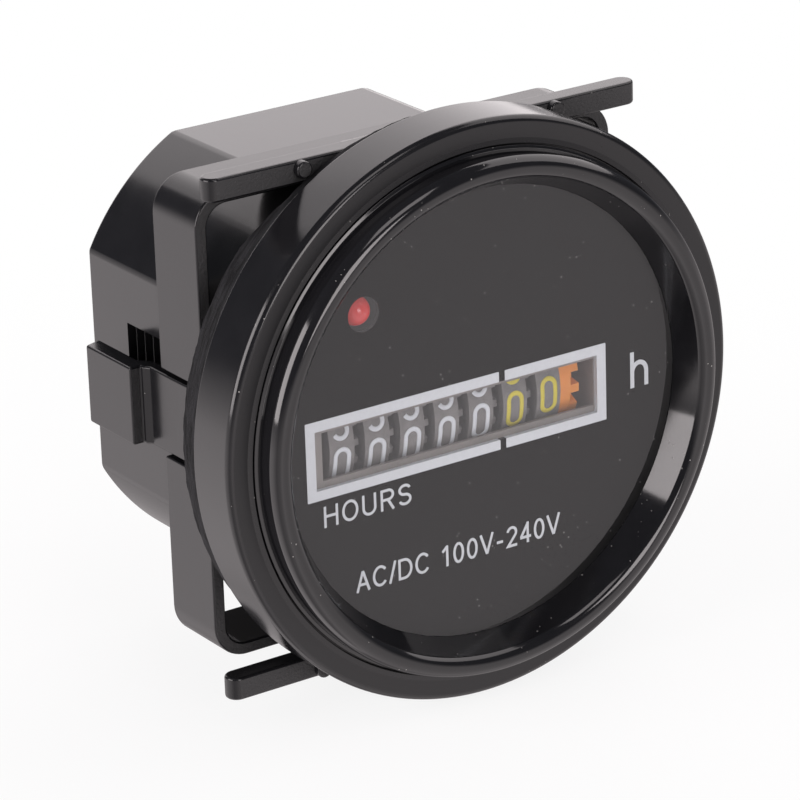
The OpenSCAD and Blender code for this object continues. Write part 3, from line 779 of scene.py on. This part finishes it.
class HOURMETER_OT_dial(bpy.types.Operator):
    """Black dial with its window, indicator hole and white print"""

    bl_idname = "hour_meter.dial"
    bl_label = "Dial"

    # Printed words: left and lower edge, width and height
    words = (("HOURS", -18.76, -7.59, 10.26, 2.2), ("h", 18.15, -2.12, 2.41, 3.8),
             ("AC/DC 100V-240V", -15.32, -15.33, 24.52, 2.2))

    def execute(self, context):
        colours = context.scene.hour_meter_colours
        plate = slab("dial_sheet", disc(DIAL_R, steps=180), DIAL_FRONT, DIAL_BACK)
        for opening in (rectangle(*WINDOW), disc(INDICATOR_R, INDICATOR)):
            cut(plate, slab("opening", opening, 0.0, 2.0))
        soften(plate, 0.04, 2)
        shade(plate)
        finish = moulded("dial_black", colours.dial, rough=0.6, grain=2.0, grain_depth=0.0,
                         dust=0.04, gloss=0.1)
        settle(plate, "case", finish, ["dial_plate"])
        thick = sizes_mm(context)["print_t"]
        ink = self.frame_print(thick)
        for place in self.words:
            ink += self.lettering(*place, thick)
        printed = join(ink, "dial_print")
        settle(printed, "case", inked("white_ink", colours.ink))
        return {"FINISHED"}

    def frame_print(self, thick):
        """The window's white frame, open above and below the decimal point."""
        low, high, inner_low, inner_high = -4.65, 3.49, -3.65, 2.42
        made = []
        for gap, outer, inner in ((2.2, -20.47, -19.4), (2.9, 15.2, 14.1)):
            half = [(gap, high), (outer, high), (outer, low), (gap, low),
                    (gap, inner_low), (inner, inner_low), (inner, inner_high), (gap, inner_high)]
            outline = filleted([(x, z, 0.07) for x, z in half], 3)
            # The frame reaches back through the plate and stands a little into the window, so the
            # window's cut walls are white too, except in the gap
            made.append(slab("frame_print", outline, DIAL_FRONT - thick, DIAL_BACK - 0.02))
        return made

    def lettering(self, words, left, low, wide, high, thick):
        """Printed words, spread over a box on the dial."""
        stretch, stroke = 1.1, 0.125
        letters = [letter_lines(sign) for sign in words]
        taken = stretch * high * sum(width for width, _ in letters)
        gap = (wide - taken) / max(len(words) - 1, 1)
        made = []
        for width, lines in letters:
            for level, line in enumerate(lines):
                placed = [(left + stretch * high * x, low + high * z) for x, z in line]
                # Each stroke has its own depth, so that no two faces coincide
                front = DIAL_FRONT - thick * (1 + 0.15 * level)
                made.append(slab("letter", ribbon(placed, stroke * high), front, DIAL_FRONT))
            left += stretch * high * width + gap
        return made


class HOURMETER_OT_gasket(bpy.types.Operator):
    """Foam ring behind the flange, squeezed under the bars"""

    bl_idname = "hour_meter.gasket"
    bl_label = "Gasket"

    def execute(self, context):
        start, free, pressed = sizes_mm(context)["flange_depth"], 3.3, 2.0
        bore, outer, end = 25.35, 28.8, start + free
        bar_edge, slope = 18.93, 4.4
        rows = [(outer, start + free * i / 9) for i in range(10)]
        rows += [(outer - 0.12, end), (outer - 1.2, end), (bore + 1.0, end)]
        rows += [(bore, start + free * (9 - i) / 9) for i in range(0, 10, 3)]
        gasket = turned("foam_gasket", rows, 360)
        for vertex in gasket.data.vertices:
            x, y, z = vertex.co
            share = (y - start) / free
            squeeze = min(max((abs(z) - bar_edge) / slope, 0.0), 1.0)
            thick = free + (pressed - free) * squeeze
            coarse = noise.noise(Vector((x, z, 3.0)) * 1.6)
            ragged = coarse + 0.6 * noise.noise(Vector((x, z, 9.0)) * 5.0)
            bulge = noise.noise(Vector((x * 0.8, y * 2.5, z * 0.8)))
            out = Vector((x, z)).normalized() * 0.1 * bulge
            depth = thick - 0.06 + 0.09 * share * ragged
            vertex.co = (x + out.x, start + share * depth, z + out.y)
        shade(gasket, 40.0)
        finish = foam("foam_rubber", context.scene.hour_meter_colours.foam)
        settle(gasket, "case", finish, ["gasket"])
        return {"FINISHED"}


class HOURMETER_OT_bracket(bpy.types.Operator):
    """Sliding bracket: sleeve, bars, nibs, spring tongues and finger levers in one"""

    bl_idname = "hour_meter.bracket"
    bl_label = "Bracket"

    # The sleeve: front and back, and half widths outside and inside
    front, back = 12.34, 20.24
    outer_x, outer_z, inner_x, inner_z = 24.6, 24.2, 23.3, 22.9

    def execute(self, context):
        edge = sizes_mm(context)["edge_r"]
        outside = rectangle(-self.outer_x, -self.outer_z, self.outer_x, self.outer_z, 3.6, 12)
        inside = rectangle(-self.inner_x, -self.inner_z, self.inner_x, self.inner_z, 2.3, 12)
        sleeve = slab("bracket_moulding", outside, self.front, self.back)
        cut(sleeve, slab("opening", inside, 11.0, 21.0))
        for side in (-1.0, 1.0):
            x = side * 23.95
            notch = rectangle(x - 1.2, -4.6, x + 1.2, 4.6)
            cut(sleeve, slab("notch", notch, self.front + 1.2, 21.0))
        soften(sleeve, edge * 0.7, 3, 40.0)
        right, top = [self.tongue(), self.pawl()], [self.bar(), self.web(), self.nib()]
        for part, width in zip(right + top, (edge * 0.8, 0.06, edge, edge * 0.6, 0.2)):
            soften(part, width, 3, 40.0)
        top.append(mirrored(top[-1], 0))
        below = [mirrored(part, 2) for part in top]
        left = [mirrored(part, 0) for part in right]
        for part in top + below + right + left + self.ribs():
            fuse(sleeve, part)
        shade(sleeve)
        # The bracket's faces that look forward get painted light: their colour is made a little
        # lighter
        finish = moulded("satin_black_bracket", context.scene.hour_meter_colours.case, rough=0.2,
                         grain=0.16, grain_depth=0.0015, dust=0.05, gloss=0.34,
                         front_rough=0.5, front_grain=0.12, front_painted_light=0.03)
        settle(sleeve, "bracket", finish, ["mounting_bracket"])
        return {"FINISHED"}

    def tongue(self):
        """Spring tongue and finger lever of the right side."""
        inner, outer, lever = self.inner_x, self.outer_x, 26.3
        outline = [(inner, self.front), (outer, self.front), (outer, 22.3), (outer + 0.5, 22.9),
                   (outer + 0.5, 23.3), (lever, 23.3), (lever, 31.8), (lever - 1.9, 32.4),
                   (lever - 1.9, 24.9), (inner, 23.7)]
        return plank("tongue", outline, -4.1, 4.1)

    def pawl(self):
        """Pawl behind the tongue, in a valley of the ratchet teeth."""
        lock, tip, slope = 19.16, 21.5, 0.55
        outline = [(tip, lock), (tip, lock - 0.2), (tip + 1.1 * slope, lock - 1.2),
                   (23.4, lock - 1.4), (23.4, lock)]
        return plank("pawl", outline, -3.7, 3.7)

    def bar(self):
        """Upper bar that bears on the panel, with round ends."""
        end = 1.18
        reach = 25.3 - end
        ends = [(reach + end * math.cos(a), 9.6 + end * math.sin(a))
                for a in (math.pi * (i / 16 - 0.5) for i in range(17))]
        return plank("bar", ends + [(-x, y) for x, y in reversed(ends)], 24.53, 26.93)

    def web(self):
        """Web between the upper bar and the sleeve."""
        outline = [(9.62, 24.53), (9.62, 26.9), (10.78, 26.9), (16.34, 24.15), (16.34, 23.0),
                   (12.44, 23.0)]
        return strip("web", outline, -9.0, 9.0)

    def nib(self):
        """Small round nib on the front of the upper bar."""
        return slab("nib", disc(0.85, (14.9, 26.03), 40), 7.62, 8.7)

    def ribs(self):
        """Low ribs inside the sleeve that guide it on the body."""
        half, beside_z, above_x, tip = 0.8, 8.5, 8.0, 22.3
        made = []
        for sx in (-1.0, 1.0):
            for sz in (-1.0, 1.0):
                low, high = sorted((sx * tip, sx * 23.4))
                beside = rectangle(low, sz * beside_z - half, high, sz * beside_z + half)
                low, high = sorted((sz * tip, sz * 23.0))
                above = rectangle(sx * above_x - half, low, sx * above_x + half, high)
                made += [slab("rib", rib, 12.4, 20.18) for rib in (beside, above)]
        return made


class HOURMETER_OT_drums(bpy.types.Operator):
    """Seven number drums with their printed figures"""

    bl_idname = "hour_meter.drums"
    bl_label = "Number drums"

    # Depth and height of the drums' axis, and the place of the first drum
    axis_y, axis_z, first_x = 9.3, -0.6, -15.6
    # How far each drum's figures are turned down, and from one figure to the next, in degrees
    turns = (13.3, 13.6, 12.6, 11.8, 9.1, 6.7, 2.4)
    figure_step = 36.0
    # Drums that count whole hours, bore of a drum, and thickness of the ink for its stroke
    hour_drums, bore, flatness = 5, 1.05, 0.14

    def execute(self, context):
        s = sizes_mm(context)
        colours = context.scene.hour_meter_colours
        plastic = drum_plastic("drum_plastic", colours.drum)
        white = inked("white_figures", colours.figure)
        yellow = inked("yellow_figures", colours.fraction)
        bare = self.drum(s["drum_r"], context.scene.hour_meter_sizes.turn_steps)
        geared = self.with_gear(bare)
        patterns = [self.figure(n, s["stroke"]) for n in range(10)]
        for place, body in enumerate(DRUM_BODIES):
            x = self.first_x + place * s["drum_pitch"]
            node = f"drum_{place + 1}"
            drum = copy_of(bare if body == DRUM_BODIES[-1] else geared, node + "_rim")
            drum.data.transform(Matrix.Translation((x, self.axis_y, self.axis_z)))
            settle(drum, body, plastic, [node])
            printed = [self.wrapped(pattern, n, x, self.turns[place], s["drum_r"])
                       for n, pattern in enumerate(patterns)]
            figures = join(printed, node + "_figures")
            settle(figures, body, white if place < self.hour_drums else yellow)
        for spare in [bare, geared] + patterns:
            bpy.data.objects.remove(spare, do_unlink=True)
        return {"FINISHED"}

    def drum(self, r, steps):
        """Rim, web and hub of one drum about the X axis."""
        half, hub, hub_end, web, rim = 1.45, 2.2, -1.6, 0.25, r - 0.8
        profile = filleted([
            (r, -half, 0.07), (r, half, 0.07), (self.bore, half, 0), (self.bore, hub_end, 0),
            (hub, hub_end, 0.05), (hub, web, 0), (rim, web, 0), (rim, -half, 0.05)], steps=4)
        drum = turned("drum", profile, steps, axis=0)
        shade(drum)
        return drum

    def with_gear(self, drum):
        """A copy of the drum with the toothed ring on its right."""
        outline = gear_outline(
            teeth=20, module=0.6, tip=0.75, root=1.1, wide=0.33, narrow=0.17)
        gear = strip("gear", outline, 1.35, 2.45)
        cut(gear, strip("bore", disc(self.bore), 1.0, 3.0))
        return join([copy_of(drum, "geared_drum"), gear], "geared_drum")

    def figure(self, number, stroke):
        """One figure as flat ink, drawn upright round the origin."""
        curve = bpy.data.curves.new("figure", "CURVE")
        curve.dimensions = "3D"
        curve.bevel_depth = stroke / 2
        curve.bevel_resolution = 2
        curve.use_fill_caps = True
        for line in figure_lines(number):
            closed = math.dist(line[0], line[-1]) < 1e-6
            points = line[:-1] if closed else line
            spline = curve.splines.new("POLY")
            spline.points.add(len(points) - 1)
            for point, (x, z) in zip(spline.points, points):
                point.co = (x, 0.0, z, 1.0)
            spline.use_cyclic_u = closed
        piece = bpy.data.objects.new(f"figure_{number}", curve)
        bpy.context.collection.objects.link(piece)
        pick(piece)
        bpy.ops.object.convert(target="MESH")
        piece = bpy.context.object
        piece.data.transform(Matrix.Diagonal((1.0, self.flatness, 1.0, 1.0)))
        pick(piece)
        bpy.ops.object.shade_smooth()
        return piece

    def wrapped(self, pattern, number, x, turn, r):
        """A copy of a figure, wrapped round a drum at its place among the ten."""
        figure = copy_of(pattern, f"figure_{number}")
        start = -turn - self.figure_step * number
        for vertex in figure.data.vertices:
            angle = math.radians(start) + vertex.co.z / r
            reach = r - vertex.co.y
            vertex.co = (x + vertex.co.x, self.axis_y - reach * math.cos(angle),
                         self.axis_z + reach * math.sin(angle))
        return figure


class HOURMETER_OT_lamp(bpy.types.Operator):
    """Indicator lamp behind its hole in the dial"""

    bl_idname = "hour_meter.lamp"
    bl_label = "Lamp"

    def execute(self, context):
        tip, r = 1.0, 1.5
        dome = [(r * math.sin(a), tip + r - r * math.cos(a)) for a in
                (math.pi / 2 * i / 14 for i in range(15))]
        rim_r, rim, end = 1.9, tip + 4.1, tip + 5.1
        profile = dome + filleted([
            (r, rim, 0), (rim_r, rim, 0.12), (rim_r, end, 0.12), (0.0, end, 0)], 4)
        lamp = turned("lamp_dome", profile, 64)
        lamp.data.transform(Matrix.Translation((INDICATOR[0], 0.0, INDICATOR[1])))
        shade(lamp)
        finish = tinted_plastic(
            "lamp_resin", context.scene.hour_meter_colours.lamp, 0.06, 0.5, glow=0.32)
        settle(lamp, "case", finish, ["led"])
        return {"FINISHED"}


class HOURMETER_OT_terminals(bpy.types.Operator):
    """Two spade terminals in the back of the case"""

    bl_idname = "hour_meter.terminals"
    bl_label = "Terminals"

    def execute(self, context):
        depth = sizes_mm(context)["body_depth"]
        foot, inside, end = depth - 2.6, depth - 2.0, depth + 8.0
        half, shoulder, slant = 3.15, 4.15, 1.4
        finish = metal("tin_plate", (0.4, 0.39, 0.37), 0.42, (1.0, 0.1, 1.0))
        outline = [(foot, -shoulder), (inside, -shoulder), (inside, -half), (end - slant, -half),
                   (end, slant - half), (end, half - slant), (end - slant, half), (inside, half),
                   (inside, shoulder), (foot, shoulder)]
        hole = disc(0.83, (end - 4.0, 0.0), 40)
        for side, name in ((-1.0, "left"), (1.0, "right")):
            x = side * TERMINAL_X
            blade = strip("blade_" + name, outline, x - 0.4, x + 0.4)
            cut(blade, strip("hole", hole, x - 1.0, x + 1.0))
            soften(blade, 0.09, 2)
            shade(blade)
            settle(blade, "case", finish, ["terminal_" + name])
        return {"FINISHED"}


class HOURMETER_OT_works(bpy.types.Operator):
    """Finishes of the solids that show as they are: counter frame, gears, motor and board"""

    bl_idname = "hour_meter.works"
    bl_label = "Works"

    def execute(self, context):
        colours = context.scene.hour_meter_colours
        steel = metal("ground_steel", (0.6, 0.61, 0.63), 0.22, (0.05, 1.0, 1.0))
        tin = metal("tinned_wire", (0.66, 0.66, 0.64), 0.3, (1.0, 0.1, 1.0))
        acetal = tinted_plastic("natural_acetal", (0.78, 0.74, 0.64), 0.4, 0.2)
        finishes = {
            moulded("support_plastic", colours.case, 0.45, 0.2, 0.01): ["dial_support"],
            moulded("counter_frame_plastic", colours.mask, 0.42, 0.2, 0.012): ["counter_frame"],
            tinted_plastic("orange_plastic", colours.drive, 0.38, 0.25): ["drive_wheel"],
            acetal: ["gear_a", "gear_b", "rotor"] + [f"transfer_pinion_{i}" for i in range(1, 7)],
            steel: ["drum_shaft", "pinion_shaft", "arbor_a", "arbor_b"],
            moulded("sintered_magnet", (0.06, 0.06, 0.065), 0.55, 0.12, 0.02): ["rotor_magnet"],
            metal("soft_iron", (0.4, 0.41, 0.43), 0.35, (1.0, 0.2, 1.0)): ["stator_core"],
            tinted_plastic("natural_nylon", (0.76, 0.7, 0.56), 0.45, 0.2): ["coil_bobbin"],
            wound_copper("enamelled_wire"): ["coil_winding"],
            tin: ["coil_pin_left", "coil_pin_right", "led_lead_left", "led_lead_right", "crystal"],
            lacquered_board("board_lacquer"): ["circuit_board"],
            moulded("shrunk_sleeve", (0.03, 0.04, 0.14), 0.25, 0.5, 0.006): ["capacitor"],
            moulded("chip_epoxy", (0.02, 0.02, 0.022), 0.5, 0.1, 0.01): ["chip"],
            moulded("resistor_lacquer", (0.5, 0.36, 0.2), 0.35, 0.3, 0.008): ["resistor"],
        }
        for finish, nodes in finishes.items():
            for node in nodes:
                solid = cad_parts[node].data
                solid.materials.clear()
                solid.materials.append(finish)
        return {"FINISHED"}


class HOURMETER_OT_stage(bpy.types.Operator):
    """Pale floor, soft studio light and the camera"""

    bl_idname = "hour_meter.stage"
    bl_label = "Stage"

    # Softboxes: bearing and height in degrees, width and height in metres, and watts
    softboxes = {
        "back": (74.0, 21.0, 1.15, 0.77, 5.3),
        "left": (177.0, 17.0, 0.79, 0.63, 11.5),
        "front": (-90.0, 14.0, 0.38, 0.46, 3.9),
        "right": (5.0, 40.0, 1.5, 0.75, 7.5),
        "above": (-95.0, 58.0, 0.45, 0.4, 1.8),
    }
    # Brightness of the table by its bearing in degrees
    table_light = ((-180, 0.6), (-146, 0.25), (-118, 0.35), (-97, 0.55), (-80, 0.47), (-56, 0.4),
                   (-34, 0.36), (-14, 0.36), (8, 0.24), (60, 0.15), (90, 0.2), (124, 0.58),
                   (155, 0.62), (180, 0.6))
    lamp_colour = (1.0, 0.935, 0.94)
    # Camera: place in metres from the flange's front face, and turn in degrees
    camera_x, camera_y, camera_z = -0.2246, -0.32141, 0.1518
    camera_turn = (69.0314, 1.7836, -34.4034)

    def execute(self, context):
        scene = context.scene
        scene.view_settings.view_transform = "Standard"
        pick(None)
        under = CAD_BOX[0][2] - 0.0001
        bpy.ops.mesh.primitive_circle_add(
            vertices=96, radius=3.0, fill_type="NGON", location=(0.0, 0.0, under))
        floor = bpy.context.object
        floor.name = "floor"
        floor.data.materials.append(self.floor_finish())
        floor.visible_glossy = floor.visible_diffuse = floor.visible_shadow = False
        self.sky(scene)
        for side, settings in self.softboxes.items():
            self.softbox("softbox_" + side, *settings)
        self.camera(scene)
        return {"FINISHED"}

    def camera(self, scene):
        """The camera, with a long lens, before the part and to its left."""
        camera = bpy.data.cameras.new("photo_camera")
        camera.lens = 194.07
        camera.sensor_width = 36.0
        camera.clip_start = 0.01
        holder = bpy.data.objects.new("photo_camera", camera)
        holder.location = (self.camera_x, self.camera_y + FRONT_Y, self.camera_z)
        holder.rotation_euler = [math.radians(a) for a in self.camera_turn]
        scene.collection.objects.link(holder)
        scene.camera = holder

    def softbox(self, name, bearing, height, wide, high, watts):
        """An oblong soft lamp a metre from the part, at a bearing and height in degrees."""
        light = bpy.data.lights.new(name, "AREA")
        light.shape = "RECTANGLE"
        light.size, light.size_y = wide, high
        light.energy = watts
        light.color = self.lamp_colour
        holder = bpy.data.objects.new(name, light)
        turn, lift = math.radians(bearing), math.radians(height)
        holder.location = (
            math.cos(lift) * math.cos(turn), math.cos(lift) * math.sin(turn), math.sin(lift))
        holder.rotation_euler = (-holder.location).to_track_quat("-Z", "Y").to_euler()
        bpy.context.scene.collection.objects.link(holder)

    def floor_finish(self):
        """White floor that keeps a soft shadow near the part and is plain white beyond it."""
        f = Finish("white_floor")
        coords = f.node("ShaderNodeTexCoord", out="Object")
        away = f.node("ShaderNodeVectorMath", {"operation": "LENGTH"}, {0: coords}, out="Value")
        white = f.node("ShaderNodeEmission", inputs={"Color": WHITE, "Strength": 1.0})
        matt = f.node("ShaderNodeBsdfDiffuse", inputs={"Color": (0.86, 0.86, 0.86, 1.0)})
        share = 0.86 + 0.14 * f.ramp(away, 0.03, 0.13)
        f.finish(f.node("ShaderNodeMixShader", inputs={0: share, 1: matt, 2: white}))
        return f.material

    def sky(self, scene):
        """White backdrop to the camera; for the part an uneven bright table and a dim room."""
        world = bpy.data.worlds.new("studio")
        world.use_nodes = True
        scene.world = world
        f = Finish("studio", world.node_tree)
        seen = f.node("ShaderNodeMath", {"operation": "MAXIMUM"}, {
            0: f.node("ShaderNodeLightPath", out="Is Camera Ray"),
            1: f.node("ShaderNodeLightPath", out="Is Transmission Ray")})
        direction = f.node("ShaderNodeTexCoord", out="Generated")
        height = f.node("ShaderNodeSeparateXYZ", inputs={0: direction}, out="Z")
        around = f.node("ShaderNodeTexGradient", {"gradient_type": "RADIAL"}, {
            "Vector": direction}, out="Fac")
        stops = [(bearing / 360 + 0.5, (level, 0.93 * level, 0.94 * level, 1.0))
                 for bearing, level in self.table_light]
        table = f.node("ShaderNodeValToRGB", {"stops": stops}, {"Fac": around})
        room = f.blend(f.ramp(height, -0.2, 0.08), table, (0.036, 0.037, 0.042, 1.0))
        # Three times as strong for the part as for the camera
        light = f.node("ShaderNodeBackground", inputs={
            "Color": f.blend(seen, room, WHITE), "Strength": 3.0 - 2.0 * seen})
        f.node("ShaderNodeOutputWorld", inputs={"Surface": light})


class HOURMETER_PT_panel(bpy.types.Panel):
    """Lists the sizes, colours and pieces"""

    bl_idname = "HOURMETER_PT_panel"
    bl_label = "Hour meter"
    bl_space_type = "VIEW_3D"
    bl_region_type = "UI"
    bl_category = "Hour meter"

    def draw(self, context):
        for group in (context.scene.hour_meter_sizes, context.scene.hour_meter_colours):
            box = self.layout.box()
            for name in type(group).__annotations__:
                box.prop(group, name)
        for operator in OPERATORS:
            self.layout.operator(operator.bl_idname)


OPERATORS = (HOURMETER_OT_stage, HOURMETER_OT_housing, HOURMETER_OT_lens_ring, HOURMETER_OT_lens,
             HOURMETER_OT_dial, HOURMETER_OT_gasket, HOURMETER_OT_bracket, HOURMETER_OT_drums,
             HOURMETER_OT_lamp, HOURMETER_OT_terminals, HOURMETER_OT_works)
CLASSES = (HourMeterSizes, HourMeterColours) + OPERATORS + (HOURMETER_PT_panel,)


def register():
    for cls in CLASSES:
        bpy.utils.register_class(cls)
    bpy.types.Scene.hour_meter_sizes = PointerProperty(type=HourMeterSizes)
    bpy.types.Scene.hour_meter_colours = PointerProperty(type=HourMeterColours)


def unregister():
    del bpy.types.Scene.hour_meter_sizes
    del bpy.types.Scene.hour_meter_colours
    for cls in reversed(CLASSES):
        bpy.utils.unregister_class(cls)


def main():
    register()
    for operator in OPERATORS:
        group, name = operator.bl_idname.split(".")
        getattr(getattr(bpy.ops, group), name)()


if __name__ == "__main__":
    main()
